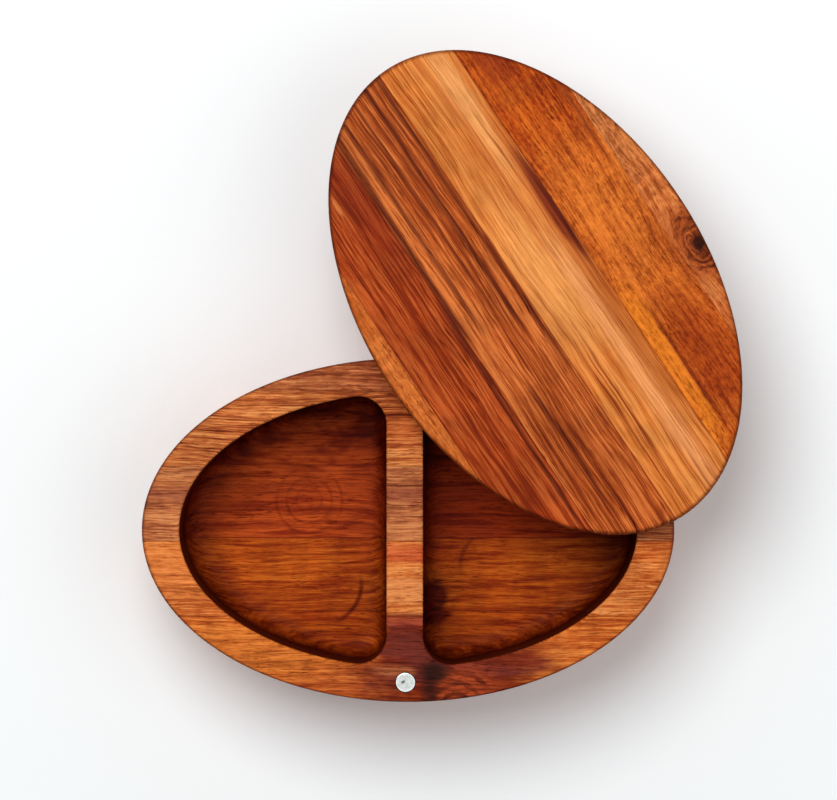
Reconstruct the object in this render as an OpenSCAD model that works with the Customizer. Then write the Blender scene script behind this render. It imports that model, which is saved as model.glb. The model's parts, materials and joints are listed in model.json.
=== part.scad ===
// Oval two-compartment box of glued hardwood staves.
// Its flat lid swivels on a hidden pin at the back rim and is caught by magnets at the front.
// The origin is the centre of the underside, +X along the grain, +Y to the pivot, +Z up.

/* [Box] */
// Length of the oval
body_l = 160; // [140:1:190]
// Width of the oval
body_w = 103.3; // [96:0.1:120]
// Height of the base up to its rim
body_h = 45; // [35:1:70]
// Thickness of the floor under the compartments
floor_t = 10; // [7:0.5:14]
// Rounding of the top outer edge of the base
rim_edge_r = 0.8; // [0.3:0.1:1.5]
// Rounding of the bottom outer edge of the base
foot_edge_r = 1.5; // [0.5:0.1:3]

/* [Compartments] */
// Width of the rim at the two ends of the oval
rim_end_w = 11.2; // [9:0.1:15]
// Width of the rim along the two long sides
rim_side_w = 10.4; // [9:0.1:14]
// Thickness of the divider between the compartments
divider_w = 11; // [8:0.5:20]
// Sideways place of the middle of the divider
divider_x = -1; // [-6:0.1:6]
// Radius of the upright corners beside the divider
corner_r = 8.5; // [5:0.5:12]
// Radius between floor and wall
floor_fillet = 6; // [2:0.5:7]
// Rounding of the compartment mouths
mouth_r = 0.7; // [0.2:0.1:1.5]

/* [Lid] */
// Thickness of the lid
lid_t = 9; // [8:0.5:14]
// Gap between the rim and the lid, filled by the washer at the pivot
lid_gap = 0.5; // [0.4:0.1:1]
// Rounding of the top edge of the lid
lid_edge_r = 1.5; // [0.5:0.1:3]
// Rounding of the bottom edge of the lid
lid_under_r = 0.6; // [0.3:0.1:1.5]
// Turn of the lid from closed, anticlockwise from above
lid_open = 123.8; // [0:0.1:180]

/* [Staves] */
// Width of a full stave
stave_w = 22.5; // [18:0.1:24]
// Width of the one narrow stave in the lid
narrow_stave_w = 19.7; // [15:0.1:21]
// Width of the strip at the front edge of the lid
lid_front_strip_w = 9.45; // [5:0.05:12]
// Width of the strip at the back edge of the lid
lid_back_strip_w = 6.65; // [5:0.05:10]
// Place across the base of the glue line nearest the middle
base_seam_y = -3.3; // [-5:0.1:2]
// Place across the closed lid of the glue line nearest the middle
lid_seam_y = 2.8; // [-1:0.1:4]

/* [Pivot] */
// Distance of the pivot from the back edge
pivot_inset = 5.9; // [5.5:0.1:8]
// Diameter of the pivot pin
pin_d = 4; // [3:0.1:5]
// Depth of the pin in the base
pin_depth = 14; // [8:0.5:20]
// Diameter of the head of the pin
head_d = 6.4; // [5.6:0.1:6.8]
// Thickness of the head of the pin
head_t = 1.4; // [1:0.1:2]
// Outer diameter of the bush in the lid
bush_d = 8; // [7.4:0.1:9]
// Length of the bush in the lid
bush_h = 4; // [2.5:0.1:4.5]
// Diameter of the thrust washer
washer_d = 9; // [7:0.1:10]
// Thickness of the thrust washer
washer_t = 0.4; // [0.3:0.05:0.4]

/* [Magnets] */
// Diameter of the two disc magnets
magnet_d = 6; // [4:0.5:8]
// Thickness of the two disc magnets
magnet_t = 3; // [2:0.5:4]
// Distance of the magnets from the front edge
magnet_inset = 5.9; // [5:0.1:8]
// Sideways place of the magnets
magnet_x = -0.8; // [-3:0.1:3]

/* [Fits] */
// Running clearance all round the pin
running_gap = 0.05; // [0.02:0.01:0.1]
// Glue gap all round a magnet or the bush, and below it
glue_gap = 0.1; // [0.05:0.05:0.2]
// Depth of the magnets and the bush below the face around them
sink = 0.1; // [0:0.05:0.3]
// Clearance of the head of the pin above the bush
head_play = 0.1; // [0.05:0.05:0.3]
// Clearance of the head of the pin below the wood of the lid
head_room = 0.5; // [0.3:0.1:0.8]

/* [Hidden] */

// Smoothness of the ovals and of the round pieces
oval_fn = 128;
round_fn = 64;
edge_fn = 32;
// Segments along a compartment's outer wall, along a corner, and up a rounded edge
wall_steps = 40;
corner_steps = 8;
fillet_steps = 6;
mouth_steps = 3;
// Length by which a cut passes through a surface
over = 1;

half_l = body_l / 2;
half_w = body_w / 2;
cavity_l = half_l - rim_end_w;
cavity_w = half_w - rim_side_w;
fillet_r = min(floor_fillet, corner_r - 0.5);
pivot_y = half_w - pivot_inset;
magnet_y = magnet_inset - half_w;
lid_z = body_h + lid_gap;
lid_top = lid_z + lid_t;
bush_top = lid_z + sink + bush_h;
head_z = bush_top + head_play;
pin_top = head_z + head_t;
lid_bore_top = pin_top + head_room;

base_colors = ["sienna", "peru", "chocolate", "sandybrown", "saddlebrown"];
lid_colors = ["rosybrown", "chocolate", "burlywood", "saddlebrown", "sienna", "peru"];

// Glue lines of the base from front to back, with the ends beyond the oval
base_seams = [
    -body_w, base_seam_y - stave_w, base_seam_y, base_seam_y + stave_w, base_seam_y + 2 * stave_w, body_w
];
// Glue lines of the closed lid from front to back, with the ends beyond the oval.
// The second and the fourth stave take what the others leave.
lid_back_seam = half_w - lid_back_strip_w;
lid_seams = [
    -body_w, lid_front_strip_w - half_w, lid_seam_y - stave_w, lid_seam_y,
    lid_back_seam - narrow_stave_w, lid_back_seam, body_w
];

// Point and outward unit normal of the cavity's ellipse at an angle
function cavity_point(angle) = [cavity_l * cos(angle), cavity_w * sin(angle)];
function cavity_normal(angle) =
    let (n = [cavity_w * cos(angle), cavity_l * sin(angle)]) n / norm(n);

// Centre of a corner circle that touches the ellipse at an angle from inside
function corner_center(angle) = cavity_point(angle) - corner_r * cavity_normal(angle);

// Angle at which the corner circle also touches the divider, whose face lies at wall_x.
// Each step halves the stretch that holds the angle.
function corner_angle(wall_x, low = 0, high = 90, steps = 24) =
    let (middle = (low + high) / 2)
    steps == 0 ? middle
    : corner_center(middle)[0] > wall_x + corner_r
    ? corner_angle(wall_x, middle, high, steps - 1)
    : corner_angle(wall_x, low, middle, steps - 1);

// Places and outward normals round a compartment that lies on +X of wall_x, anticlockwise
function compartment_edge(wall_x) =
    let (
        end = corner_angle(wall_x),
        center = corner_center(end),
        turn = let (n = cavity_normal(end)) atan2(n[1], n[0]),
        wall = [
            for (i = [0 : wall_steps])
            let (a = -end + 2 * end * i / wall_steps)
            [cavity_point(a), cavity_normal(a)]
        ],
        back = [
            for (i = [1 : corner_steps])
            let (a = turn + (180 - turn) * i / corner_steps, n = [cos(a), sin(a)])
            [center + corner_r * n, n]
        ],
        front = [
            for (i = [corner_steps : -1 : 1])
            let (a = turn + (180 - turn) * i / corner_steps, n = [cos(a), -sin(a)])
            [[center[0], -center[1]] + corner_r * n, n]
        ]
    )
    concat(wall, back, front);

// Inward step and height of each ring of a compartment, from the floor up
function compartment_rings() = concat(
    [
        for (i = [0 : fillet_steps])
        let (a = 90 * i / fillet_steps)
        [fillet_r * (1 - sin(a)), floor_t + fillet_r * (1 - cos(a))]
    ],
    [
        for (i = [0 : mouth_steps])
        let (a = 90 * i / mouth_steps)
        [-mouth_r * (1 - cos(a)), body_h - mouth_r + mouth_r * sin(a)]
    ],
    [[-mouth_r, body_h + over]]
);

// Space of a compartment on +X of a divider face at wall_x
module compartment(wall_x) {
    edge = compartment_edge(wall_x);
    rings = compartment_rings();
    count = len(edge);
    last = (len(rings) - 1) * count;
    points = [
        for (ring = rings, place = edge)
        let (p = place[0] - ring[0] * place[1])
        [p[0], p[1], ring[1]]
    ];
    sides = [
        for (r = [0 : len(rings) - 2], i = [0 : count - 1])
        let (a = r * count + i, b = r * count + (i + 1) % count)
        [a, a + count, b + count, b]
    ];
    bottom = [[for (i = [0 : count - 1]) i]];
    top = [[for (i = [count - 1 : -1 : 0]) last + i]];
    polyhedron(points = points, faces = concat(sides, bottom, top), convexity = 4);
}

// Solid oval between two heights, with its two edges rounded.
// It runs past both heights, where a board cuts it flat.
module oval(low, high, low_r, high_r) {
    scale([body_l / body_w, 1, 1])
        rotate_extrude($fn = oval_fn) {
            translate([0, low - over]) square([half_w - low_r, high - low - high_r + over]);
            translate([0, low + low_r]) square([half_w, high - low - low_r - high_r]);
            translate([0, low + low_r]) square([half_w - high_r, high - low - low_r + over]);
            translate([half_w - low_r, low + low_r]) circle(r = low_r, $fn = edge_fn);
            translate([half_w - high_r, high - high_r]) circle(r = high_r, $fn = edge_fn);
        }
}

// Upright cylinder between two heights
module peg(x, y, low, high, d) {
    translate([x, y, low]) cylinder(d = d, h = high - low, $fn = round_fn);
}

// Board from one glue line to the next and between two heights, longer than the oval
module board(front, back, low, high) {
    translate([-body_l, front, low]) cube([2 * body_l, back - front, high - low]);
}

// Turns the closed lid about the pivot to where it stands open
module opened() {
    translate([0, pivot_y, 0])
        rotate([0, 0, lid_open])
        translate([0, -pivot_y, 0])
        children();
}

// One stave of the base, counted from the front
module base_stave(i) {
    color(base_colors[i - 1])
        difference() {
            intersection() {
                oval(0, body_h, foot_edge_r, rim_edge_r);
                board(base_seams[i - 1], base_seams[i], 0, body_h);
            }
            compartment(divider_x + divider_w / 2);
            mirror([1, 0, 0]) compartment(divider_w / 2 - divider_x);
            peg(0, pivot_y, body_h - pin_depth - glue_gap, body_h + over, pin_d);
            peg(
                magnet_x, magnet_y, body_h - sink - magnet_t - glue_gap, body_h + over,
                magnet_d + 2 * glue_gap
            );
        }
}

// One stave of the lid, counted from the front of the closed lid
module lid_stave(i) {
    color(lid_colors[i - 1])
        opened()
        difference() {
            intersection() {
                oval(lid_z, lid_top, lid_under_r, lid_edge_r);
                board(lid_seams[i - 1], lid_seams[i], lid_z, lid_top);
            }
            peg(0, pivot_y, lid_z - over, lid_bore_top, bush_d + 2 * glue_gap);
            peg(
                magnet_x, magnet_y, lid_z - over, lid_z + sink + magnet_t + glue_gap,
                magnet_d + 2 * glue_gap
            );
        }
}

// Headed steel pin, glued in the base
module pivot_pin() {
    color("silver") {
        peg(0, pivot_y, body_h - pin_depth, head_z + head_t / 2, pin_d);
        peg(0, pivot_y, head_z, pin_top, head_d);
    }
}

// Thin washer that the lid slides on
module pivot_washer() {
    color("ivory")
        difference() {
            peg(0, pivot_y, body_h, body_h + washer_t, washer_d);
            peg(0, pivot_y, body_h - over, lid_z + over, pin_d + 2 * running_gap);
        }
}

// Brass bush, glued in the lid under the head of the pin
module pivot_bush() {
    color("goldenrod")
        difference() {
            peg(0, pivot_y, lid_z + sink, bush_top, bush_d);
            peg(0, pivot_y, lid_z - over, bush_top + over, pin_d + 2 * running_gap);
        }
}

// Disc magnet in the front rim
module base_magnet() {
    color("gainsboro") peg(magnet_x, magnet_y, body_h - sink - magnet_t, body_h - sink, magnet_d);
}

// Disc magnet in the lid, above the other one when the lid is closed
module lid_magnet() {
    color("gainsboro") opened() peg(magnet_x, magnet_y, lid_z + sink, lid_z + sink + magnet_t, magnet_d);
}

for (i = [1 : 5]) {
    base_stave(i);
}
for (i = [1 : 6]) {
    lid_stave(i);
}
pivot_pin();
pivot_washer();
pivot_bush();
base_magnet();
lid_magnet();
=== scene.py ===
"""Looks of the oval spice box: smooth staves of oiled acacia, magnets, pivot, soft studio light.

Lengths are in metres, and the materials work in millimetres. The origin is under the middle of the base.
The lid's pieces are made closed and then turned open, and their materials work on the closed lid.
"""
import json
import math

import bmesh
import bpy
from mathutils import Matrix, Vector


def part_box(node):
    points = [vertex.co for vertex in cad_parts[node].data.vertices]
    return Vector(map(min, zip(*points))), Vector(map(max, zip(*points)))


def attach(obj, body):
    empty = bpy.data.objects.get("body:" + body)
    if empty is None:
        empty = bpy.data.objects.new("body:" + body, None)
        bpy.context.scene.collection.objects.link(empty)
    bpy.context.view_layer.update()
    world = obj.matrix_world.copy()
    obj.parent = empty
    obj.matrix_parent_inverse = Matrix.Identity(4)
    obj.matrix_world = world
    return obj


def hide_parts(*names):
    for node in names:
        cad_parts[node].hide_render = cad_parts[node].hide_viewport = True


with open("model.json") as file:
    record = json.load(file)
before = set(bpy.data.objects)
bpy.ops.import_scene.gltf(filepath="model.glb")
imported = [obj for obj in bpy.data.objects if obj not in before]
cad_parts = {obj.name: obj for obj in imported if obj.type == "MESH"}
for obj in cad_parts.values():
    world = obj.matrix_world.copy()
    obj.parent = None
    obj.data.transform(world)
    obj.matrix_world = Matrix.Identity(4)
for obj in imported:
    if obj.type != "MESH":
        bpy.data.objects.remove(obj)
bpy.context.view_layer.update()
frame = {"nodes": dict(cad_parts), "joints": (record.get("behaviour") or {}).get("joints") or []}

MM = 0.001

# Sizes that the frame gives
BASE_STAVES = ["base_stave_%d" % i for i in range(1, 6)]
LID_STAVES = ["lid_stave_%d" % i for i in range(1, 7)]
BASE_BOXES = [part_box(name) for name in BASE_STAVES]
HALF_L = max(high.x for low, high in BASE_BOXES)
HALF_W = max(high.y for low, high in BASE_BOXES)
RIM_Z = BASE_BOXES[0][1].z
LID_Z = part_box("lid_stave_3")[0].z
LID_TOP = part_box("lid_stave_3")[1].z
SWIVEL = frame["joints"][0]
PIVOT = Vector((0, SWIVEL["pos_m"][1]))
LID_OPEN = -math.radians(SWIVEL["range_deg"][0])
OPENED = (
    Matrix.Translation(PIVOT.to_3d())
    @ Matrix.Rotation(LID_OPEN, 4, "Z")
    @ Matrix.Translation(-PIVOT.to_3d())
)

# Sizes that repeat the part's own
RIM_END_W = 11.2 * MM
RIM_SIDE_W = 10.4 * MM
DIVIDER_W = 11 * MM
DIVIDER_X = -1 * MM
CORNER_R = 8.5 * MM
FLOOR_T = 10 * MM
FLOOR_FILLET = 6 * MM
MOUTH_R = 0.7 * MM
FOOT_EDGE_R = 1.5 * MM
RIM_EDGE_R = 0.8 * MM
LID_UNDER_R = 0.6 * MM
LID_EDGE_R = 1.5 * MM
PIN_R = 2 * MM
HEAD_ROOM = 0.5 * MM
GLUE_GAP = 0.1 * MM

# Rounded edge of a magnet, and how far a cutter stands out of what it cuts
MAGNET_EDGE_R = 0.25 * MM
OVER = 1 * MM

# Smoothness of the meshes
OVAL_POINTS = 288
WALL_POINTS = 160
CORNER_POINTS = 20
ROUND_POINTS = 96
EDGE_RINGS = 7
FILLET_RINGS = 14
SMOOTH_ANGLE = math.radians(32)

# Halvings that find where a compartment's corner meets its wall
HALVINGS = 40


# Meshes

def add_object(name, bm):
    """Object of that name from a bmesh."""
    bmesh.ops.recalc_face_normals(bm, faces=bm.faces)
    mesh = bpy.data.meshes.new(name)
    bm.to_mesh(mesh)
    bm.free()
    piece = bpy.data.objects.new(name, mesh)
    bpy.context.scene.collection.objects.link(piece)
    return piece


def loft(name, rings):
    """Closed solid through rings of points, each as long as the others, capped flat at both ends."""
    bm = bmesh.new()
    loops = [[bm.verts.new(point) for point in ring] for ring in rings]
    count = len(loops[0])
    for below, above in zip(loops, loops[1:]):
        for i in range(count):
            j = (i + 1) % count
            bm.faces.new((below[i], below[j], above[j], above[i]))
    bm.faces.new(loops[0][::-1])
    bm.faces.new(loops[-1])
    return add_object(name, bm)


def on_ellipse(half_l, half_w, angle):
    """Place on an ellipse at an angle of its equation, with its outward normal."""
    place = Vector((half_l * math.cos(angle), half_w * math.sin(angle)))
    normal = Vector((half_w * math.cos(angle), half_l * math.sin(angle))).normalized()
    return place, normal


def angles(first, last, count):
    """Even steps from one angle towards another, without the last one."""
    return [first + (last - first) * i / count for i in range(count)]


def ellipse_edge(half_l, half_w, first, last, count):
    """Places on an ellipse with their outward normals, from one angle to another."""
    return [on_ellipse(half_l, half_w, a) for a in angles(first, last, count)]


def arc_edge(center, radius, first, last, count):
    """Places on a circle with their outward normals, from one angle to another."""
    edge = []
    for a in angles(first, last, count):
        normal = Vector((math.cos(a), math.sin(a)))
        edge.append((center + radius * normal, normal))
    return edge


def circle_edge(center, radius):
    """Places all round a circle with their outward normals."""
    return arc_edge(center, radius, 0, 2 * math.pi, ROUND_POINTS)


def ring_at(edge, inset, z):
    """The edge moved inwards along its normals, at a height."""
    return [(place - inset * normal).to_3d() + Vector((0, 0, z)) for place, normal in edge]


def quarter(steps):
    """Angles of a quarter turn in even steps, both ends included."""
    return [math.pi / 2 * i / steps for i in range(steps + 1)]


def bottom_rings(edge, radius, z, steps):
    """Rings that round an outline off at its bottom, from that height up."""
    return [
        ring_at(edge, radius * (1 - math.sin(a)), z + radius * (1 - math.cos(a)))
        for a in quarter(steps)
    ]


def top_rings(edge, radius, z, way=1):
    """Rings that round an outline off up to that height, inwards, or outwards where way is -1."""
    return [
        ring_at(edge, way * radius * (1 - math.cos(a)), z - radius * (1 - math.sin(a)))
        for a in quarter(EDGE_RINGS)
    ]


def rounded_solid(name, edge, low, high, low_r, high_r):
    """Upright solid with that outline, rounded along its bottom and its top edge."""
    return loft(name, bottom_rings(edge, low_r, low, EDGE_RINGS) + top_rings(edge, high_r, high))


def oval(name, low, high, low_r, high_r):
    """Solid oval of the box's outline."""
    edge = ellipse_edge(HALF_L, HALF_W, 0, 2 * math.pi, OVAL_POINTS)
    return rounded_solid(name, edge, low, high, low_r, high_r)


def compartment_edge(wall_x):
    """Outline of the space between the cavity's ellipse and a divider face at wall_x, on its +X side."""
    cavity_l = HALF_L - RIM_END_W
    cavity_w = HALF_W - RIM_SIDE_W

    def corner(angle):
        place, normal = on_ellipse(cavity_l, cavity_w, angle)
        return place - CORNER_R * normal, normal

    low, high = 0, math.pi / 2
    for _ in range(HALVINGS):
        middle = (low + high) / 2
        if corner(middle)[0].x > wall_x + CORNER_R:
            low = middle
        else:
            high = middle
    center, normal = corner(middle)
    turn = math.atan2(normal.y, normal.x)
    wall = ellipse_edge(cavity_l, cavity_w, -middle, middle, WALL_POINTS)
    back = arc_edge(center, CORNER_R, turn, math.pi, CORNER_POINTS)
    back.append((center - Vector((CORNER_R, 0)), Vector((-1, 0))))
    mirrored = center * Vector((1, -1))
    front = arc_edge(mirrored, CORNER_R, math.pi, 2 * math.pi - turn, CORNER_POINTS)
    return wall + back + front


def compartment(name, wall_x, side):
    """Solid that fills a compartment and stands out of its mouth. Side is 1 on +X and -1 on -X."""
    edge = compartment_edge(wall_x)
    if side < 0:
        flip = Vector((-1, 1))
        edge = [(place * flip, normal * flip) for place, normal in edge][::-1]
    rings = bottom_rings(edge, FLOOR_FILLET, FLOOR_T, FILLET_RINGS)
    rings += top_rings(edge, MOUTH_R, RIM_Z, -1)
    rings.append(ring_at(edge, -MOUTH_R, RIM_Z + OVER))
    return loft(name, rings)


def round_peg(name, center, radius, low, high):
    """Upright cylinder used as a cutter."""
    edge = circle_edge(center, radius)
    return loft(name, [ring_at(edge, 0, low), ring_at(edge, 0, high)])


def slab(front, back, low, high):
    """Board between two glue lines, longer than the oval."""
    corners = [(-1, front), (1, front), (1, back), (-1, back)]
    rings = [[(2 * HALF_L * x, y, z) for x, y in corners] for z in (low - OVER, high + OVER)]
    return loft("slab", rings)


def combine(piece, cutters, operation):
    """Applies exact booleans to the piece and removes the cutters."""
    for cutter in cutters:
        step = piece.modifiers.new("step", "BOOLEAN")
        step.operation = operation
        step.solver = "EXACT"
        step.object = cutter
    graph = bpy.context.evaluated_depsgraph_get()
    mesh = bpy.data.meshes.new_from_object(piece.evaluated_get(graph))
    piece.modifiers.clear()
    piece.data = mesh
    for cutter in cutters:
        bpy.data.objects.remove(cutter)


def finish_shading(piece):
    """Smooth curves, sharp edges and level flats."""
    piece.data.shade_smooth()
    piece.data.set_sharp_from_angle(angle=SMOOTH_ANGLE)
    level = piece.modifiers.new("level", "WEIGHTED_NORMAL")
    level.keep_sharp = True
    level.weight = 100


def stave(whole, name, front, back, low, high):
    """The part of a whole board between two glue lines."""
    piece = bpy.data.objects.new(name + "_wood", whole.data.copy())
    bpy.context.scene.collection.objects.link(piece)
    combine(piece, [slab(front, back, low, high)], "INTERSECT")
    finish_shading(piece)
    return piece


def dress(piece, node, body, material):
    """Puts a piece in a node's place, on its body, with its finish."""
    piece.data.materials.clear()
    piece.data.materials.append(material)
    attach(piece, body)
    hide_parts(node)


def middle_and_radius(node):
    """Middle of an upright round node, and its radius."""
    low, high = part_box(node)
    return (low + high) / 2, (high.x - low.x) / 2


# Materials

def srgb(red, green, blue):
    """Linear colour from the 0 to 255 values that a screen shows."""
    values = []
    for part in (red, green, blue):
        c = part / 255
        values.append(c / 12.92 if c <= 0.04045 else ((c + 0.055) / 1.055) ** 2.4)
    return (*values, 1)


def grey(level):
    """Linear grey, where 1 is white."""
    return (level, level, level, 1)


class Nodes:
    """Adds nodes to a tree. Every value is a number, a colour, a vector or another node's output."""

    def __init__(self, tree):
        self.tree = tree

    def put(self, socket, value):
        """Sets a socket to a value or links it to another node's output."""
        if isinstance(value, bpy.types.NodeSocket):
            self.tree.links.new(value, socket)
        else:
            socket.default_value = value

    def node(self, kind, *values, **settings):
        """New node of a kind, with its settings and the values of its first inputs."""
        made = self.tree.nodes.new(kind)
        for key, value in settings.items():
            setattr(made, key, value)
        for socket, value in zip(made.inputs, values):
            self.put(socket, value)
        return made

    def math(self, operation, *values):
        return self.node("ShaderNodeMath", *values, operation=operation).outputs[0]

    def add(self, a, b):
        return self.math("ADD", a, b)

    def subtract(self, a, b):
        return self.math("SUBTRACT", a, b)

    def times(self, a, b):
        return self.math("MULTIPLY", a, b)

    def larger(self, a, b):
        """The larger one of two values."""
        return self.math("MAXIMUM", a, b)

    def apart(self, a, b):
        """How far apart two values are."""
        return self.math("ABSOLUTE", self.subtract(a, b))

    def wave(self, value, pitch):
        """Wave between -1 and 1 whose crests are a pitch apart."""
        return self.math("SINE", self.times(value, 2 * math.pi / pitch))

    def centred(self, noise, reach):
        """Noise moved to lie round 0, and at most half the reach from it."""
        return self.times(self.subtract(noise, 0.5), reach)

    def join(self, x, y, z):
        return self.node("ShaderNodeCombineXYZ", x, y, z).outputs[0]

    def stretched(self, vector, factors):
        made = self.node("ShaderNodeVectorMath", vector, factors, operation="MULTIPLY")
        return made.outputs["Vector"]

    def length(self, x, y):
        """Length of a level vector."""
        made = self.node("ShaderNodeVectorMath", self.join(x, y, 0), operation="LENGTH")
        return made.outputs["Value"]

    def noise(self, vector, detail, roughness=0.5, distortion=0.0):
        made = self.node("ShaderNodeTexNoise")
        self.put(made.inputs["Vector"], vector)
        made.inputs["Scale"].default_value = 1
        made.inputs["Detail"].default_value = detail
        made.inputs["Roughness"].default_value = roughness
        made.inputs["Distortion"].default_value = distortion
        return made.outputs["Fac"]

    def smooth(self, value, low, high):
        """0 below low, 1 above high and a smooth rise between. Low may be the larger one."""
        made = self.node(
            "ShaderNodeMapRange", value, low, high, 0, 1, interpolation_type="SMOOTHSTEP"
        )
        return made.outputs[0]

    def mix(self, factor, a, b, blend="MIX"):
        made = self.node("ShaderNodeMix", data_type="RGBA", blend_type=blend)
        self.put(made.inputs["Factor"], factor)
        self.put(made.inputs["A"], a)
        self.put(made.inputs["B"], b)
        return next(s for s in made.outputs if s.type == "RGBA")

    def ramp(self, value, places, colors):
        """The colours at their places on a value from 0 to 1, blended in between."""
        made = self.node("ShaderNodeValToRGB", value)
        elements = made.color_ramp.elements
        while len(elements) < len(places):
            elements.new(0.5)
        for element, place, color in zip(elements, places, colors):
            element.position = place
            element.color = color
        return made.outputs[0]

    def seen(self):
        """1 for a ray from the camera or off a glossy surface, and 0 for any other."""
        path = self.node("ShaderNodeLightPath").outputs
        return self.larger(path["Is Camera Ray"], path["Is Glossy Ray"])


class Finish(Nodes):
    """One material, with its place, x, y and z in millimetres.

    On an opened piece the coordinates are turned back to the closed lid's.
    """

    def __init__(self, name, opened=False):
        self.material = bpy.data.materials.new(name)
        self.material.use_nodes = True
        super().__init__(self.material.node_tree)
        self.shader = self.tree.nodes["Principled BSDF"]
        coordinates = self.node("ShaderNodeTexCoord").outputs["Object"]
        if opened:
            turn = self.node("ShaderNodeVectorRotate", coordinates, rotation_type="Z_AXIS")
            turn.inputs["Center"].default_value = PIVOT.to_3d()
            turn.inputs["Angle"].default_value = -LID_OPEN
            coordinates = turn.outputs[0]
        self.place = self.stretched(coordinates, (1 / MM, 1 / MM, 1 / MM))
        self.x, self.y, self.z = self.node("ShaderNodeSeparateXYZ", self.place).outputs

    def away(self, x, y):
        """Distance from an upright line."""
        return self.length(self.subtract(self.x, x), self.subtract(self.y, y))

    def lumps(self, density, detail, roughness=0.6):
        """Noise that is alike along all axes, with about that many lumps a millimetre."""
        return self.noise(self.stretched(self.place, (density, density, density)), detail, roughness)

    def paint(self, color):
        """Gives the surface a colour, and keeps it so that more can be laid over it."""
        self.color = color
        self.put(self.shader.inputs["Base Color"], color)

    def surface(self, roughness, height, depth, strength):
        """Gives the surface its roughness and its fine relief."""
        self.put(self.shader.inputs["Roughness"], roughness)
        made = self.node("ShaderNodeBump")
        made.inputs["Distance"].default_value = depth
        made.inputs["Strength"].default_value = strength
        self.put(made.inputs["Height"], height)
        self.put(self.shader.inputs["Normal"], made.outputs[0])


# Colours that all the wood shares, as they look in plain light
WHITE = grey(1)
THREAD = srgb(160, 106, 70)
SEAM = srgb(150, 92, 62)
EDGE = srgb(112, 62, 38)
PORE = srgb(110, 52, 24)

# What the bars across the grain multiply it by
DARK_BAR = grey(0.84)
LIGHT_BAR = grey(1.1)

# Tones at which the grain has its dark, middle and light colour, and what it then multiplies a stain by
TONES = (0.2, 0.5, 0.8)
GRAIN_GAINS = ((0.5, 0.45, 0.4, 1), WHITE, (1.2, 1.25, 1.3, 1))

# Sizes of the wood's patterns: along the grain, across it and upright
BANDS = (260, 9, 30)
STREAKS = (80, 1.5, 6)
LINES = (26, 0.56, 2.4)
FIBRES = (7, 0.3, 1.1)
CLOUDS = (3.4, 1.1, 2.4)
THREADS = (34, 0.5, 2.6)
THREAD_CROWDS = (90, 8, 12)
BARS = (9, 26, 20)
PORES = (3.6, 0.3, 0.6)
PORE_CROWDS = (30, 7, 9)
RAGGED_STREAK = (45, 2.5, 9)
RAGGED_PATCH = (14, 5, 12)

# How far one seed moves the patterns, in their own sizes: along, across and upright
SEED_STEPS = (7.3, 3.1, 1.7)

# The grain sways from side to side: length along it, length across it, detail and whole reach
WANDER = (70, 30, 1, 5.0)
RIPPLE = (15, 5, 2, 1.3)

# Lean of the year rings from upright, one way on one stave and the other way on the next
RING_LEAN = math.radians(38)

# A knot bends the grain: the share that distance along the grain counts, and how calm its heart is
KNOT_SQUEEZE = 0.6
KNOT_CALM = 0.25

# How far below its top a board's dark edge line begins and is full
TOP_EDGE_FROM = 2.2
TOP_EDGE_TO = 0.8

SPECULAR = 0.05
PORE_DEPTH = 0.09 * MM


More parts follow.
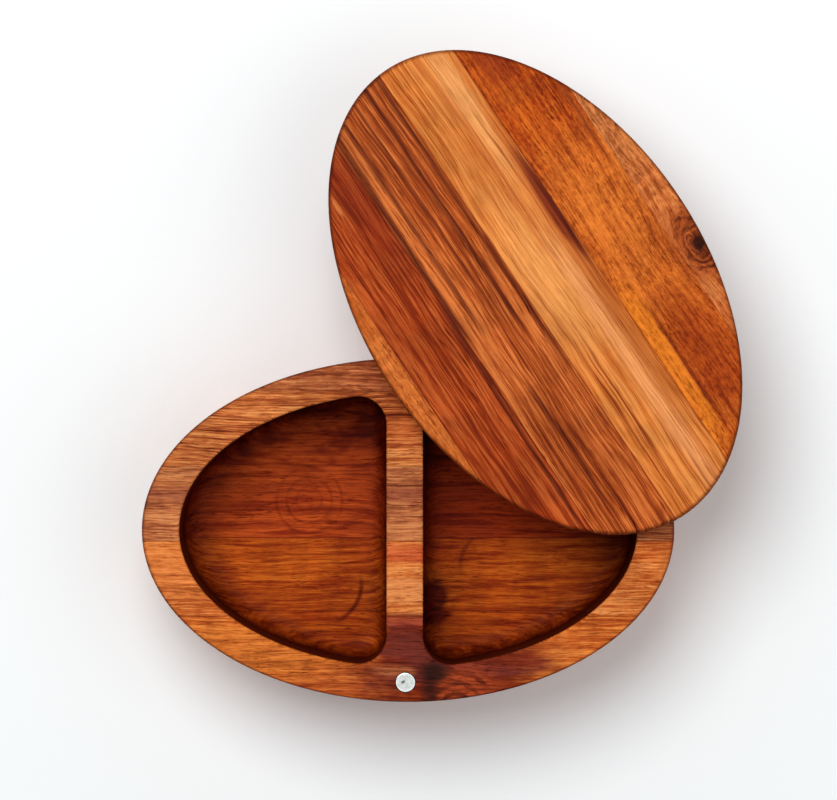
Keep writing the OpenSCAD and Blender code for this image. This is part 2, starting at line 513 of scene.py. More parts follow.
class Wood(Finish):
    """Oiled acacia whose grain runs along X. Features are drawn on it before it is finished.

    The colours are the grain's dark, middle and light one. Tilt is how far the grain turns from X.
    Streaks, mottle and pores are the strength of its lines, of its clouds and of its pores.
    Reach is how long its fibres are, where 1 is usual.
    """

    def __init__(
        self, stave_name, seed, colors, tilt=0.0, knots=(), streaks=1.0, mottle=0.6, reach=1.0, pores=0.75
    ):
        super().__init__("acacia_" + stave_name, opened=stave_name.startswith("lid"))
        self.seed = seed
        self.streaks = streaks
        self.mottle = mottle
        self.reach = reach
        self.pores = pores
        across = self.y
        for x, y, radius in knots:
            across = self.flow_round(across, x, y, radius)
        wander = self.sway(across, WANDER, seed)
        ripple = self.sway(across, RIPPLE, seed + 5)
        across = self.add(self.add(across, wander), ripple)
        across = self.add(across, self.times(self.x, tilt))
        lean = RING_LEAN if seed % 2 else -RING_LEAN
        cosine, sine = math.cos(lean), math.sin(lean)
        self.across = self.add(self.times(across, cosine), self.times(self.z, sine))
        self.rise = self.subtract(self.times(self.z, cosine), self.times(across, sine))
        self.tone = self.grain_tone()
        self.color = self.ramp(self.tone, TONES, colors)
        self.gain = self.ramp(self.tone, TONES, GRAIN_GAINS)
        self.add_threads()
        self.add_bars()

    def scaled(self, value, length):
        return self.times(value, 1 / length)

    def flow_round(self, across, x, y, radius):
        """Bends the grain round a knot, as water flows round a post."""
        dx = self.times(self.subtract(self.x, x), KNOT_SQUEEZE)
        dy = self.subtract(across, y)
        squared = self.add(self.times(dx, dx), self.times(dy, dy))
        share = self.math("DIVIDE", radius * radius, self.add(squared, KNOT_CALM * radius * radius))
        return self.subtract(across, self.times(dy, share))

    def sway(self, across, sizes, seed):
        """Sideways shift of the grain."""
        along, over, detail, reach = sizes
        place = self.join(self.scaled(self.x, along), self.scaled(across, over), seed)
        return self.centred(self.noise(place, detail), reach)

    def field(self, size, shift, detail=2, roughness=0.5, distortion=0.0):
        """Noise with one size along the grain, one across it and one upright. A shift gives another."""
        along, across, up = size
        sizes = (along * self.reach, across, up)
        parts = [
            self.add(self.scaled(value, part), self.seed * step + shift)
            for value, part, step in zip((self.x, self.across, self.rise), sizes, SEED_STEPS)
        ]
        return self.noise(self.join(*parts), detail, roughness, distortion)

    def grain_tone(self):
        """Light and dark along the grain, from broad bands down to single fibres."""
        layers = (
            (self.field(BANDS, 0), 0.8),
            (self.field(STREAKS, 11, 3, 0.6, 0.3), self.streaks),
            (self.field(LINES, 23, 2, 0.6), 1.15 * self.streaks),
            (self.field(FIBRES, 29, 1, 0.6), 0.9 * self.streaks),
            (self.field(CLOUDS, 31, 3, 0.7), self.mottle),
        )
        tone = 0.5
        for layer, strength in layers:
            tone = self.add(self.centred(layer, strength), tone)
        return tone

    def add_threads(self):
        """Thin dark lines along the grain, thickest where they crowd."""
        crowd = self.smooth(self.field(THREAD_CROWDS, 41), 0.38, 0.66)
        thread = self.smooth(self.field(THREADS, 43, 2, 0.6, 0.3), 0.54, 0.66)
        mask = self.times(thread, self.add(self.times(crowd, 0.8), 0.2))
        self.shade(mask, THREAD, 0.85 * self.streaks)

    def add_bars(self):
        """Faint cloudy bars across the grain."""
        bars = self.smooth(self.field(BARS, 37, 2, 0.55, 0.6), 0.3, 0.72)
        gain = self.ramp(bars, (0, 1), (DARK_BAR, LIGHT_BAR))
        self.color = self.mix(1.0, self.color, gain, "MULTIPLY")

    def tint(self, mask, color, strength=1.0, grain=1.0):
        """Blends a colour in where the mask says, with a share of the grain in it."""
        grained = self.mix(1.0, self.mix(grain, WHITE, self.gain), color, "MULTIPLY")
        self.color = self.mix(self.times(mask, strength), self.color, grained)

    def shade(self, mask, color, strength=1.0):
        """Multiplies a colour in where the mask says, so the grain shows through."""
        self.color = self.mix(self.times(mask, strength), self.color, color, "MULTIPLY")

    def band(self, y, half_width, soft, x_from, x_to, x_soft=12, drift=0.0):
        """Mask of a streak along the grain. Drift is how far it moves across for each millimetre of x."""
        ragged = self.centred(self.field(RAGGED_STREAK, 51), 3 * soft)
        place = self.add(self.subtract(self.y, y), ragged)
        off = self.apart(place, self.times(self.x, drift))
        mask = self.smooth(off, half_width + soft, max(half_width - soft, 0))
        mask = self.times(mask, self.smooth(self.x, x_from - x_soft, x_from + x_soft))
        return self.times(mask, self.smooth(self.x, x_to + x_soft, x_to - x_soft))

    def blot(self, x, y, reach_x, reach_y, soft, ragged):
        """Mask of an oval patch. Soft and ragged say how blurred and how uneven its edge is."""
        dx = self.scaled(self.subtract(self.x, x), reach_x)
        dy = self.scaled(self.subtract(self.y, y), reach_y)
        rough = self.centred(self.field(RAGGED_PATCH, 67, 3, 0.6), 2 * ragged)
        return self.smooth(self.add(self.length(dx, dy), rough), 1 + soft, 1 - soft)

    def seam(self, y, strength):
        """Thin dark glue line."""
        self.shade(self.smooth(self.apart(self.y, y), 0.3, 0.08), SEAM, strength)

    def dark_top_edge(self, top, low, high):
        """Dark line where the top face turns into the side. Low and high are shares of the oval."""
        out = self.length(self.scaled(self.x, HALF_L / MM), self.scaled(self.y, HALF_W / MM))
        near_top = self.smooth(self.z, top / MM - TOP_EDGE_FROM, top / MM - TOP_EDGE_TO)
        self.shade(self.times(self.smooth(out, low, high), near_top), EDGE, 0.75)

    def finish(self):
        """Pores, oil sheen and a surface that they roughen."""
        crowd = self.smooth(self.field(PORE_CROWDS, 71), 0.35, 0.7)
        dashes = self.smooth(self.field(PORES, 83, 1), 0.58, 0.72)
        pores = self.times(dashes, self.add(self.times(crowd, 0.75), 0.25))
        self.shade(pores, PORE, self.pores)
        self.paint(self.color)
        worn = self.lumps(0.05, 3)
        rough = self.add(self.times(worn, 0.22), self.times(pores, 0.2))
        height = self.subtract(self.times(self.tone, 0.25), self.times(pores, 0.9))
        self.surface(self.add(rough, 0.42), height, PORE_DEPTH, 0.7)
        self.shader.inputs["Specular IOR Level"].default_value = SPECULAR
        return self.material


# Stains by the magnet and in the knot's heart
PURPLE = srgb(100, 40, 34)
UMBER = srgb(40, 16, 10)
INK = srgb(34, 10, 4)

# Middle of the knot and its radius
KNOT = (-15.0, -48.8, 4.6)

# How strongly the glue lines show, front to back
BASE_SEAM_STRENGTHS = (0.6, 0.6, 0.25, 0.25)
LID_SEAM_STRENGTHS = (0.25, 0.5, 0.6, 0.6, 0.45)

# Where the dark line along the top edge begins and is full, as shares of the oval
BASE_TOP_EDGE = (0.985, 1.0)
LID_TOP_EDGE = (0.978, 0.998)

# How far below the rim the compartments' deeper colour and painted shade begin and are full
DEEP_FROM = 0.5
DEEP_TO = 3

# What multiplies the wood in the compartments: in streaks, in clouds with painted shade towards the back
# wall, as painted shadow of the open lid in the far part, as painted shade in the corners and on the
# walls, and in a dark patch beside the divider
FLOOR_STREAK = srgb(186, 132, 104)
FLOOR_CLOUD_AND_SHADE = srgb(160, 100, 84)
PAINTED_LID_SHADOW = srgb(208, 174, 146)
PAINTED_CORNER_SHADE = srgb(124, 66, 40)
PAINTED_WALL_SHADE = srgb(130, 94, 76)
DARK_DIVIDER_PATCH = srgb(128, 54, 36)

# The cutter's faint rings on the left floor: middle, radius and pitch
RINGS_X = -30.5
RINGS_Y = 8.2
RINGS_R = 12.4
RINGS_PITCH = 3.1


def inside(wood):
    """Mask of the compartments, and how far out a point is, where 1 is at their long wall."""
    out = wood.length(
        wood.scaled(wood.x, (HALF_L - RIM_END_W) / MM),
        wood.scaled(wood.y, (HALF_W - RIM_SIDE_W) / MM),
    )
    depth = wood.smooth(wood.z, RIM_Z / MM - DEEP_FROM, RIM_Z / MM - DEEP_TO)
    return wood.times(depth, wood.smooth(out, 1.04, 1.01)), out


def deepen_with_painted_shade(wood, painted_shade, even, evenness):
    """Deeper and smoother wood down in the compartments, with painted shade where little light comes in.

    Painted shade multiplies the wood and even is blended into it. Returns the mask of the compartments.
    """
    mask, out = inside(wood)
    wood.tint(mask, even, evenness, grain=0.4)
    # Painted shade over all of the compartments, where little light comes in
    wood.shade(mask, painted_shade)
    streak = wood.smooth(wood.field((30, 1.5, 4), 19, 3, 0.65), 0.46, 0.64)
    wood.shade(wood.times(mask, streak), FLOOR_STREAK, 0.85)
    # Darker clouds in the wood, with painted shade that grows towards the back wall
    cloud = wood.smooth(wood.field((16, 8, 9), 23, 3, 0.6), 0.46, 0.62)
    cloud = wood.times(cloud, wood.smooth(wood.y, 6, 30))
    wood.shade(wood.times(mask, cloud), FLOOR_CLOUD_AND_SHADE, 0.8)
    # Painted shadow of the open lid on the far part of the right compartment
    far = wood.times(wood.smooth(wood.x, 0, 6), wood.smooth(wood.y, -16, 4))
    wood.shade(wood.times(mask, far), PAINTED_LID_SHADOW)
    # Painted shade in the corners, by the long wall and beside the divider, made uneven
    by_divider = wood.smooth(wood.apart(wood.x, DIVIDER_X / MM), 13, 6)
    corner = wood.larger(wood.smooth(out, 0.8, 1.0), by_divider)
    stain = wood.times(corner, wood.add(wood.times(wood.field((9, 5, 9), 17, 3), 0.9), 0.3))
    wood.shade(wood.times(mask, stain), PAINTED_CORNER_SHADE)
    # Painted shade on the fillets and the walls
    wall = wood.smooth(wood.z, FLOOR_T / MM + 0.5, FLOOR_T / MM + FLOOR_FILLET / MM)
    wood.shade(wood.times(mask, wall), PAINTED_WALL_SHADE)
    return mask


def cutter_rings(wood, mask):
    """Faint rings that the cutter left on the left compartment's floor."""
    away = wood.away(RINGS_X, RINGS_Y)
    rings = wood.smooth(wood.wave(away, RINGS_PITCH), 0.1, 1.0)
    rings = wood.times(rings, wood.smooth(away, RINGS_R + 0.6, RINGS_R - 0.6))
    rings = wood.times(rings, wood.smooth(wood.field((20, 12, 20), 91), 0.3, 0.6))
    wood.shade(wood.times(rings, mask), srgb(190, 150, 130), 0.55)


def arc_mark(wood, x, y, radius, patch, strength):
    """Dark arc where the cutter turned, shown where the patch mask says."""
    off = wood.apart(wood.away(x, y), radius)
    wood.shade(wood.times(wood.smooth(off, 1.2, 0.1), patch), srgb(132, 78, 54), strength)


def left_arc(wood, mask):
    """The arc by the divider on the left floor, which crosses two staves."""
    patch = wood.times(mask, wood.blot(-16.8, -24, 6, 8.5, 0.4, 0.2))
    arc_mark(wood, -27, -17.4, 12.6, patch, 0.8)


def rings_round(wood, x, y, squeeze, pitch, reach, warping, mask, strength):
    """Wavering dark rings round a knot, longer along X the smaller squeeze is.

    Returns how far out a point is.
    """
    dx = wood.times(wood.subtract(wood.x, x), squeeze)
    dy = wood.times(wood.subtract(wood.y, y), 0.9)
    away = wood.add(wood.length(dx, dy), wood.centred(wood.lumps(0.16, 3), warping))
    rings = wood.smooth(wood.wave(away, pitch), -0.5, 0.7)
    rings = wood.times(rings, wood.smooth(away, reach, reach - 2.4))
    rings = wood.times(rings, wood.smooth(wood.field((8, 3, 6), 107), 0.25, 0.6))
    wood.tint(wood.times(rings, mask), srgb(92, 30, 10), strength)
    return away


def base_front():
    """Front stave of the base, with the dark patch, the swirl and the divider's front end."""
    colors = (srgb(150, 58, 16), srgb(194, 94, 34), srgb(228, 134, 58))
    wood = Wood("base_front", 1, colors, tilt=0.02, reach=0.9)

    # A lighter part far left and a redder one left of the dark patch
    wood.tint(wood.blot(-44, -36, 26, 8, 0.5, 0.5), srgb(212, 116, 44), 0.65)
    wood.tint(wood.blot(-18, -49, 18, 6, 0.5, 0.5), srgb(166, 70, 30), 0.5)

    # The purple patch on the rim and down the outer wall
    outside = wood.subtract(1, inside(wood)[0])
    on_rim = wood.blot(14.5, -42, 25, 17, 0.4, 0.5)
    on_divider = wood.blot(-1, -35, 10, 8, 0.3, 0.2)
    patch = wood.times(outside, wood.larger(on_rim, on_divider))
    patch = wood.times(patch, wood.smooth(wood.z, 4, RIM_Z / MM - 3))
    wood.shade(patch, srgb(158, 96, 92), 0.95)
    wood.tint(wood.times(patch, wood.smooth(wood.field((40, 5, 9), 101), 0.36, 0.62)), PURPLE, 0.7)

    # The swirl, the streaks and the darkest spots, near the top only
    upper = wood.times(outside, wood.smooth(wood.z, RIM_Z / MM - 7, RIM_Z / MM - 1))
    swirl = wood.times(upper, wood.blot(17, -49, 10, 7, 0.5, 0.4))
    wood.tint(swirl, srgb(170, 68, 30), 0.9)
    rings_round(wood, 14.5, -53, squeeze=0.9, pitch=2.9, reach=12, warping=3.5, mask=swirl, strength=0.95)
    wood.tint(wood.times(upper, wood.band(-27.3, 1.3, 0.7, -14, 14, 4)), srgb(170, 72, 50), 0.6)
    wood.tint(wood.times(upper, wood.blot(-3, -42.2, 6, 1.6, 0.5, 0.6)), srgb(196, 112, 66), 0.55)
    wood.tint(wood.times(upper, wood.blot(7.6, -42.4, 4.6, 3.2, 0.6, 0.5)), UMBER, 0.95)
    wood.tint(wood.times(upper, wood.blot(6.6, -48.5, 2.6, 4.6, 0.7, 0.5)), UMBER, 0.8)

    # Down in the compartments, with painted shade
    mask = deepen_with_painted_shade(wood, srgb(248, 202, 124), srgb(206, 114, 50), 0.35)
    # A dark patch on the floor beside the divider
    wood.shade(wood.times(mask, wood.blot(8, -26, 5.5, 4.5, 0.3, 0.4)), DARK_DIVIDER_PATCH, 0.9)
    left_arc(wood, mask)
    return wood


def base_second():
    """Second stave, with two coloured streaks across the divider."""
    colors = (srgb(168, 70, 24), srgb(208, 112, 48), srgb(236, 148, 80))
    wood = Wood("base_second", 2, colors, tilt=-0.01, reach=0.8)

    # A red and a pale streak on the divider, a lighter rim on the left and a dark line at the front seam
    wood.tint(wood.band(-7.5, 2.4, 1.6, -14, 14, 10), srgb(188, 72, 38), 0.75)
    wood.tint(wood.band(-18, 4, 2, -14, 14, 10), srgb(216, 134, 78), 0.6)
    wood.tint(wood.blot(-68, -12, 16, 10, 0.4, 0.4), srgb(224, 124, 58), 0.6)
    wood.tint(wood.blot(0, -26.5, 12, 1.6, 0.5, 0.5), srgb(120, 46, 26), 0.8)

    # Down in the compartments, with painted shade
    mask = deepen_with_painted_shade(wood, srgb(242, 198, 116), srgb(214, 122, 58), 0.25)
    # A dark patch on the floor beside the divider
    wood.shade(wood.times(mask, wood.blot(7.5, -22, 4.5, 6, 0.3, 0.4)), DARK_DIVIDER_PATCH, 0.9)
    left_arc(wood, mask)
    arc_mark(wood, 27, -12, 11, wood.times(mask, wood.blot(17, -7, 5, 6, 0.4, 0.2)), 0.5)
    return wood


def base_middle():
    """Middle stave, browner than the ones in front of it, with rings on its floor."""
    colors = (srgb(118, 54, 32), srgb(176, 96, 54), srgb(212, 134, 80))
    wood = Wood("base_middle", 3, colors, tilt=0.01, streaks=1.15, reach=0.95)

    # A dull streak all along and a lighter one on the left rim
    wood.tint(wood.band(10.5, 2.0, 1.0, -80, 80), srgb(150, 76, 52), 0.6)
    wood.tint(wood.band(14, 1.8, 1.2, -80, -40), srgb(200, 118, 66), 0.5)

    # Down in the compartments, with painted shade
    mask = deepen_with_painted_shade(wood, srgb(254, 194, 124), srgb(196, 98, 56), 0.65)
    cutter_rings(wood, mask)
    return wood


def base_fourth():
    """Fourth stave, with a duller place on the divider and stained floors."""
    colors = (srgb(142, 62, 26), srgb(192, 104, 50), srgb(226, 144, 80))
    wood = Wood("base_fourth", 4, colors, tilt=0.015, streaks=1.15, reach=0.95)
    wood.shade(wood.blot(-1, 34, 9, 8, 0.4, 0.5), srgb(214, 176, 150), 0.8)
    # Down in the compartments, with painted shade
    mask = deepen_with_painted_shade(wood, srgb(248, 184, 116), srgb(184, 90, 52), 0.65)
    stain = wood.smooth(wood.field((16, 6, 9), 103, 3), 0.44, 0.62)
    wood.shade(wood.times(mask, stain), srgb(190, 140, 120), 0.6)
    cutter_rings(wood, mask)
    return wood


def base_back():
    """Back stave, mostly under the open lid."""
    colors = (srgb(124, 54, 26), srgb(170, 90, 48), srgb(206, 128, 76))
    wood = Wood("base_back", 5, colors, tilt=0.01, streaks=1.1, reach=0.8)
    # Down in the compartments, with painted shade
    deepen_with_painted_shade(wood, srgb(242, 170, 98), srgb(180, 88, 50), 0.65)
    return wood


def draw_knot(wood):
    """Ringed knot with a dark heart at the lid's edge."""
    x, y = KNOT[:2]
    wood.tint(wood.blot(x, y, 12, 9, 0.35, 0.2), srgb(160, 70, 24), 0.8)
    away = rings_round(wood, x, y, squeeze=0.75, pitch=1.9, reach=8.6, warping=6, mask=1.0, strength=0.85)
    wood.tint(wood.smooth(away, 3.6, 1.6), srgb(96, 34, 12), 0.8)
    wood.tint(wood.smooth(away, 1.9, 0.7), INK, 0.9)


def lid_knotted():
    """Front stave of the lid with the knot, duller towards -X and lighter towards +X."""
    colors = (srgb(162, 72, 26), srgb(202, 108, 50), srgb(226, 138, 74))
    wood = Wood("lid_knotted", 6, colors, knots=[KNOT], mottle=0.8, reach=0.5)
    wood.shade(wood.blot(-46, -44, 14, 4, 0.5, 0.5), srgb(224, 204, 200), 0.8)
    wood.tint(wood.smooth(wood.x, 0, 34), srgb(212, 128, 70), 0.7)
    draw_knot(wood)
    return wood


def lid_orange():
    """Orange-red stave, lighter in its middle, with dark ends and thin dark lines."""
    colors = (srgb(146, 50, 6), srgb(190, 88, 24), srgb(224, 122, 42))
    wood = Wood("lid_orange", 7, colors, knots=[KNOT], streaks=0.8, mottle=0.95, reach=0.55)

    # The lighter middle and the duller ends
    wood.tint(wood.blot(4, -31, 28, 9, 0.6, 0.5), srgb(220, 118, 42), 0.42)
    wood.shade(wood.smooth(wood.x, 14, 50), srgb(228, 196, 150), 0.9)
    wood.tint(wood.blot(-44, -34, 20, 9, 0.5, 0.4), srgb(150, 48, 6), 0.65)
    wood.tint(wood.blot(66, -28, 9, 5, 0.5, 0.5), srgb(134, 42, 12), 0.7)

    # A bright streak, two dark lines and the stain that the knot leaves
    wood.tint(wood.band(-22.2, 2.4, 1.2, -66, -14, 8), srgb(224, 122, 30), 0.75)
    wood.tint(wood.band(-25.4, 0.6, 0.4, -60, -24, 6), srgb(116, 36, 6), 0.8)
    wood.tint(wood.band(-40.6, 0.7, 0.5, 20, 50, 8), srgb(120, 46, 18), 0.75)
    wood.tint(wood.blot(-13, -41, 10, 2.4, 0.6, 0.5), srgb(140, 56, 16), 0.6)
    return wood


def lid_golden():
    """Golden stave with long fibres and few pores, and the dark streak along its front seam."""
    colors = (srgb(164, 76, 22), srgb(204, 112, 45), srgb(228, 142, 70))
    wood = Wood("lid_golden", 8, colors, mottle=0.4, reach=1.8, pores=0.3)

    # Its pale parts
    wood.tint(wood.blot(4, -4, 24, 7, 0.8, 0.4), srgb(240, 164, 90), 0.45)
    wood.tint(wood.band(-12.4, 2.2, 1.6, -80, 8, 14), srgb(230, 154, 98), 0.5)
    wood.tint(wood.band(-14.5, 2.2, 1.6, 36, 80, 14), srgb(238, 168, 100), 0.5)

    # Brown parts round the dark streak, and two thin lines
    wood.tint(wood.band(-16.8, 1.8, 1.2, -50, -4, 10), srgb(164, 82, 30), 0.65)
    wood.tint(wood.blot(20, -17.6, 30, 2.8, 0.6, 0.4), srgb(178, 88, 36), 0.65)
    wood.tint(wood.band(-9.6, 0.5, 0.4, 8, 70, 10, drift=-0.01), srgb(180, 92, 40), 0.7)
    wood.tint(wood.band(-11.0, 0.4, 0.3, 14, 60, 10, drift=-0.01), srgb(168, 80, 34), 0.7)

    # The dark streak and its darkest line
    wood.tint(wood.blot(18, -18.2, 18, 1.9, 0.35, 0.35), srgb(112, 32, 12), 0.85)
    wood.tint(wood.band(-18.8, 0.5, 0.4, 4, 32, 8), srgb(84, 20, 8), 0.85)
    return wood


def lid_dark():
    """Dark brown stave with long thin dark lines."""
    colors = (srgb(134, 52, 14), srgb(178, 83, 30), srgb(214, 118, 56))
    wood = Wood("lid_dark", 9, colors, streaks=1.35, mottle=0.55, reach=1.7)
    wood.shade(wood.blot(-48, 16, 22, 7, 0.5, 0.5), srgb(220, 200, 180), 0.8)

    # The thin dark lines
    wood.tint(wood.band(4.0, 0.7, 0.4, -20, 82, 14), srgb(96, 32, 8), 0.9)
    wood.tint(wood.band(8.9, 0.7, 0.5, -6, 82, 8), srgb(104, 36, 10), 0.9)
    wood.tint(wood.band(13.6, 0.5, 0.4, 10, 82, 8), srgb(112, 40, 10), 0.8)
    wood.tint(wood.band(19.8, 0.7, 0.5, 2, 76, 8), srgb(104, 36, 10), 0.85)
    wood.tint(wood.band(17.2, 0.6, 0.4, -62, -24, 8), srgb(96, 32, 8), 0.85)
    wood.tint(wood.band(24.9, 1.0, 0.5, 0, 78, 8, drift=-0.02), srgb(96, 32, 8), 0.9)
    return wood


def lid_red():
    """Narrow red-brown stave."""
    colors = (srgb(122, 36, 4), srgb(160, 60, 16), srgb(188, 88, 36))
    wood = Wood("lid_red", 10, colors, streaks=1.4, mottle=0.5, reach=1.6)

    # A dark line, a dull place and a small bright fleck in it
    wood.tint(wood.band(26.2, 0.8, 0.5, -66, 10, 8, drift=-0.02), srgb(92, 28, 8), 0.8)
    wood.shade(wood.blot(50, 29, 20, 4.5, 0.5, 0.5), srgb(214, 176, 170), 0.8)
    wood.tint(wood.blot(54, 35, 3, 0.6, 0.5, 0.4), srgb(214, 122, 60), 0.7)
    return wood


def lid_strip():
    """Light orange stave at the lid's back edge."""
    colors = (srgb(172, 78, 22), srgb(200, 102, 40), srgb(222, 128, 58))
    return Wood("lid_strip", 11, colors, streaks=0.8, mottle=0.7, reach=0.5)


def finish_wood(wood, seams, strengths, top, dark_top_edge):
    """Draws a whole board's glue lines and the dark line along its top edge on a stave, and finishes it.
    """
    for y, strength in zip(seams, strengths):
        wood.seam(y, strength)
    wood.dark_top_edge(top, *dark_top_edge)
    return wood.finish()


# Colours of the metals and of the nylon
STEEL = srgb(200, 201, 198)
BRASS = srgb(214, 172, 92)
NICKEL = srgb(190, 194, 192)
PALE_NICKEL = srgb(232, 234, 232)
MARKED_NICKEL = srgb(64, 68, 64)
# Painted shade for a magnet's rounded rim
PAINTED_RIM_SHADE = srgb(96, 94, 90)
LIGHT_NYLON = srgb(226, 222, 208)
DARK_NYLON = srgb(206, 200, 184)

# The small dark mark on a magnet: its place from the magnet's middle, and the cosine and sine of its turn
MARK_X = -0.7
MARK_Y = 0.1
MARK_COS = 0.8
MARK_SIN = 0.6


def metal(name, color, roughness, kept):
    """Turned or plated metal with fine scuffs, in which that share of the colour is kept."""
    made = Finish(name)
    scratch = made.noise(made.stretched(made.place, (9, 0.8, 3)), 2, 0.6)
    haze = made.add(made.times(made.lumps(1.6, 4, 0.65), 0.6), made.times(scratch, 0.4))
    dull = made.smooth(haze, 0.42, 0.7)
    worn = (*[part * kept for part in color[:3]], 1)
    made.paint(made.mix(dull, color, worn))
    made.surface(made.add(made.times(dull, 0.25), roughness), scratch, 0.01 * MM, 0.5)
    made.shader.inputs["Metallic"].default_value = 1
    return made


def magnet_finish():
    """Nickel plate, lighter near its rim, with a small dark mark left of the middle and painted shade on
    its rounded rim.
    """
    made = metal("nickel", NICKEL, roughness=0.18, kept=0.85)
    middle = middle_and_radius("base_magnet")[0] / MM
    away = made.away(middle.x, middle.y)
    dx = made.subtract(made.x, middle.x + MARK_X)
    dy = made.subtract(made.y, middle.y + MARK_Y)
    along = made.add(made.times(dx, MARK_COS), made.times(dy, MARK_SIN))
    beside = made.subtract(made.times(dy, MARK_COS), made.times(dx, MARK_SIN))
    off = made.length(made.times(along, 1.2), made.times(beside, 2.6))
    off = made.add(off, made.centred(made.lumps(1.7, 2), 1.6))
    # Lighter near the rim
    made.paint(made.mix(made.times(made.smooth(away, 2.2, 2.5), 0.35), made.color, PALE_NICKEL))
    # The small dark mark left of the middle
    made.paint(made.mix(made.times(made.smooth(off, 1.5, 0.5), 0.85), made.color, MARKED_NICKEL))
    # Painted shade on the rounded rim, where it turns down into its hole
    made.paint(made.mix(made.smooth(away, 2.75, 2.95), made.color, PAINTED_RIM_SHADE))
    return made.material


def nylon():
    """Slightly cloudy plastic."""
    made = Finish("nylon")
    cloud = made.lumps(0.6, 3)
    made.paint(made.mix(cloud, LIGHT_NYLON, DARK_NYLON))
    made.surface(made.add(made.times(cloud, 0.2), 0.4), cloud, 0.02 * MM, 0.4)
    return made.material


# The base

def build_base():
    """The base's staves, cut from one milled oval."""
    whole = oval("base_whole", 0, RIM_Z, FOOT_EDGE_R, RIM_EDGE_R)
    magnet, magnet_r = middle_and_radius("base_magnet")
    magnet_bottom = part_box("base_magnet")[0].z - GLUE_GAP
    pin_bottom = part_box("pivot_pin")[0].z - GLUE_GAP
    cutters = [
        compartment("right_space", DIVIDER_X + DIVIDER_W / 2, 1),
        compartment("left_space", DIVIDER_W / 2 - DIVIDER_X, -1),
        round_peg("magnet_hole", magnet.xy, magnet_r + GLUE_GAP, magnet_bottom, RIM_Z + OVER),
        round_peg("pin_hole", PIVOT, PIN_R, pin_bottom, RIM_Z + OVER),
    ]
    combine(whole, cutters, "DIFFERENCE")
    woods = [base_front(), base_second(), base_middle(), base_fourth(), base_back()]
    slots = ["base_wood_front", "base_wood_tan", "base_wood_mid", "base_wood_light", "base_wood_back"]
    seams = [high.y / MM for low, high in BASE_BOXES[:-1]]
    for name, (low, high), wood, slot in zip(BASE_STAVES, BASE_BOXES, woods, slots):
        piece = stave(whole, name, low.y, high.y, 0, RIM_Z)
        finish = finish_wood(wood, seams, BASE_SEAM_STRENGTHS, RIM_Z, BASE_TOP_EDGE)
        dress(piece, name, "base", finish)
    bpy.data.objects.remove(whole)


# The lid, made closed and turned open

def closed_span(name):
    """Lowest and highest y of a lid node when the lid is closed."""
    back = OPENED.inverted()
    ys = [(back @ v.co).y for v in frame["nodes"][name].data.vertices]
    return min(ys), max(ys)


def build_lid():
    """The lid's staves, cut from one oval with its holes."""
    whole = oval("lid_whole", LID_Z, LID_TOP, LID_UNDER_R, LID_EDGE_R)
    magnet, magnet_r = middle_and_radius("lid_magnet")
    magnet = OPENED.inverted() @ magnet
    magnet_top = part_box("lid_magnet")[1].z + GLUE_GAP
    bush_r = middle_and_radius("pivot_bush")[1]
    bore_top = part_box("pivot_pin")[1].z + HEAD_ROOM
    cutters = [
        round_peg("magnet_hole", magnet.xy, magnet_r + GLUE_GAP, LID_Z - OVER, magnet_top),
        round_peg("bush_hole", PIVOT, bush_r + GLUE_GAP, LID_Z - OVER, bore_top),
    ]
    combine(whole, cutters, "DIFFERENCE")
    woods = [lid_knotted(), lid_orange(), lid_golden(), lid_dark(), lid_red(), lid_strip()]
    slots = ["knot", "orange", "golden", "dark", "red", "edge"]
    spans = [closed_span(name) for name in LID_STAVES]
    seams = [high / MM for low, high in spans[:-1]]
    for name, (low, high), wood, slot in zip(LID_STAVES, spans, woods, slots):
        piece = stave(whole, name, low, high, LID_Z, LID_TOP)
        piece.data.transform(OPENED)
        finish = finish_wood(wood, seams, LID_SEAM_STRENGTHS, LID_TOP, LID_TOP_EDGE)
        dress(piece, name, "lid", finish)
    bpy.data.objects.remove(whole)


# Metal and nylon pieces

def disc(name, node):
    """Disc with rounded edges in place of a magnet."""
    low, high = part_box(node)
    middle, radius = middle_and_radius(node)
    edge = circle_edge(middle.xy, radius)
    return rounded_solid(name, edge, low.z, high.z, MAGNET_EDGE_R, MAGNET_EDGE_R)


def build_magnets():
    """Both magnets, in the same nickel."""
    finish = magnet_finish()
    for node, body in (("base_magnet", "base"), ("lid_magnet", "lid")):
        piece = disc(node + "_disc", node)
        finish_shading(piece)
        dress(piece, node, body, finish)


def build_pivot():
    """The pivot keeps its exact solids, with turned metal and nylon on them."""
    finishes = {
        "pivot_pin": metal("turned_steel", STEEL, roughness=0.25, kept=0.75).material,
        "pivot_bush": metal("turned_brass", BRASS, roughness=0.28, kept=0.7).material,
        "pivot_washer": nylon(),
    }
    for node, finish in finishes.items():
        for slot in frame["nodes"][node].material_slots:
            slot.material = finish


build_base()
build_lid()
build_magnets()
build_pivot()


# Floor, light and camera

FLOOR_SIZE = 6.0
FLOOR_DROP = 0.2 * MM

# The floor is a little cool near the box, whose wood throws red light on it, and white far from it.
# To the camera it also glows more and more from one distance to another, in millimetres.
NEAR_PAPER = (0.94, 0.975, 0.985, 1)
FAR_PAPER = grey(0.97)
FAR_GLOW = grey(0.8)
GLOW_FROM = 100
GLOW_TO = 700

# Strength of the sky as a lamp, where 1 is white
SKY_STRENGTH = 0.33

# Place, width and strength of the lamps, and the place that both of them face
KEY_LAMP = ((-0.24, 0.42, 1.05), 0.75, 8.7)
FILL_LAMP = ((0.5, -0.12, 0.9), 0.9, 2.0)
LAMP_AIM = Vector((0.01, 0.03, 0.03))

# Where the photograph's middle looks, how far off it was taken and how wide its frame is there
AIM = Vector((3.13 * MM, 39.07 * MM, RIM_Z))
CAMERA_AWAY = 1.4
FRAME_W = 251.35 * MM

# Width of the camera's sensor in millimetres, and how far it sees in metres
SENSOR_W = 36.0
CLIP_END = 20


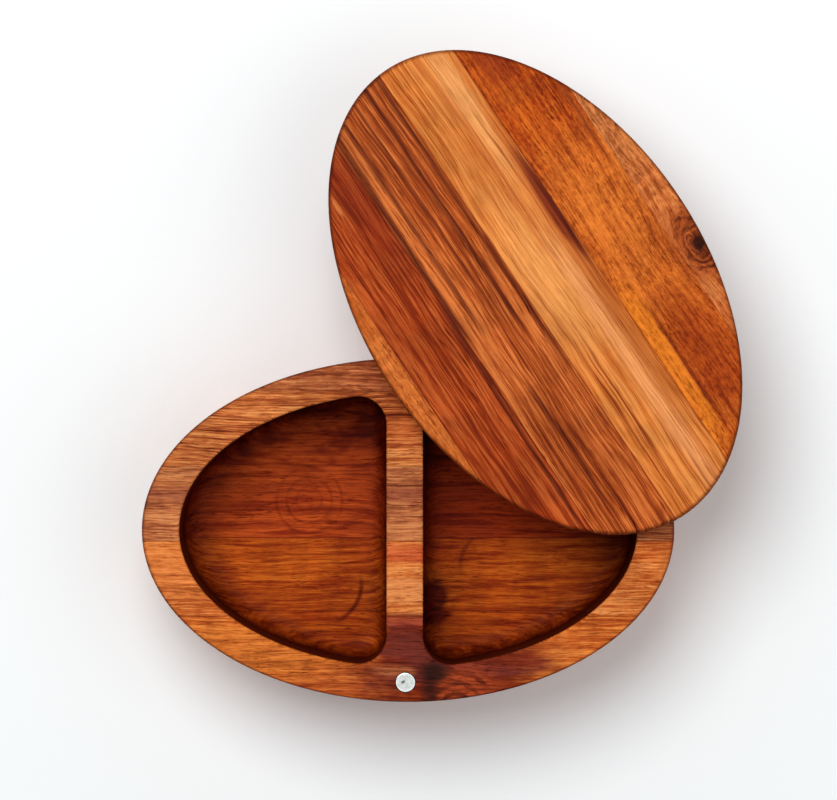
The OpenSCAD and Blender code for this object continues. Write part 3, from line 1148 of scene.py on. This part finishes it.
def build_floor():
    """Pale floor that shows white to the camera and keeps the shadow."""
    bm = bmesh.new()
    bmesh.ops.create_grid(bm, x_segments=1, y_segments=1, size=FLOOR_SIZE / 2)
    floor = add_object("floor", bm)
    floor.location.z = -FLOOR_DROP
    paper = Finish("paper")
    far = paper.smooth(paper.length(paper.x, paper.y), GLOW_FROM, GLOW_TO)
    paper.paint(paper.mix(far, NEAR_PAPER, FAR_PAPER))
    paper.put(paper.shader.inputs["Emission Strength"], paper.times(paper.seen(), far))
    paper.shader.inputs["Emission Color"].default_value = FAR_GLOW
    paper.shader.inputs["Roughness"].default_value = 0.9
    paper.shader.inputs["Specular IOR Level"].default_value = 0
    floor.data.materials.append(paper.material)


def build_sky():
    """Even light from all round, which shows as white to the camera, in metal and in glass."""
    world = bpy.data.worlds.new("studio")
    bpy.context.scene.world = world
    world.use_nodes = True
    sky = Nodes(world.node_tree)
    through = sky.node("ShaderNodeLightPath").outputs["Is Transmission Ray"]
    white = sky.larger(sky.seen(), through)
    strength = sky.add(sky.times(white, 1 - SKY_STRENGTH), SKY_STRENGTH)
    background = world.node_tree.nodes["Background"]
    background.inputs["Color"].default_value = WHITE
    sky.put(background.inputs["Strength"], strength)


def add_lamp(name, place, width, strength):
    """Round soft lamp that faces the box."""
    data = bpy.data.lights.new(name, "AREA")
    data.shape = "DISK"
    data.size = width
    data.energy = strength
    lamp = bpy.data.objects.new(name, data)
    bpy.context.scene.collection.objects.link(lamp)
    lamp.location = place
    lamp.rotation_euler = (LAMP_AIM - Vector(place)).to_track_quat("-Z", "Y").to_euler()


def build_camera():
    """Camera that looks straight down, as the photograph's did."""
    data = bpy.data.cameras.new("camera")
    data.sensor_width = SENSOR_W
    data.lens = SENSOR_W * CAMERA_AWAY / FRAME_W
    data.clip_end = CLIP_END
    camera = bpy.data.objects.new("camera", data)
    bpy.context.scene.collection.objects.link(camera)
    camera.location = AIM + Vector((0, 0, CAMERA_AWAY))
    bpy.context.scene.camera = camera


build_floor()
build_sky()
add_lamp("key", *KEY_LAMP)
add_lamp("fill", *FILL_LAMP)
build_camera()
bpy.context.scene.view_settings.view_transform = "Standard"
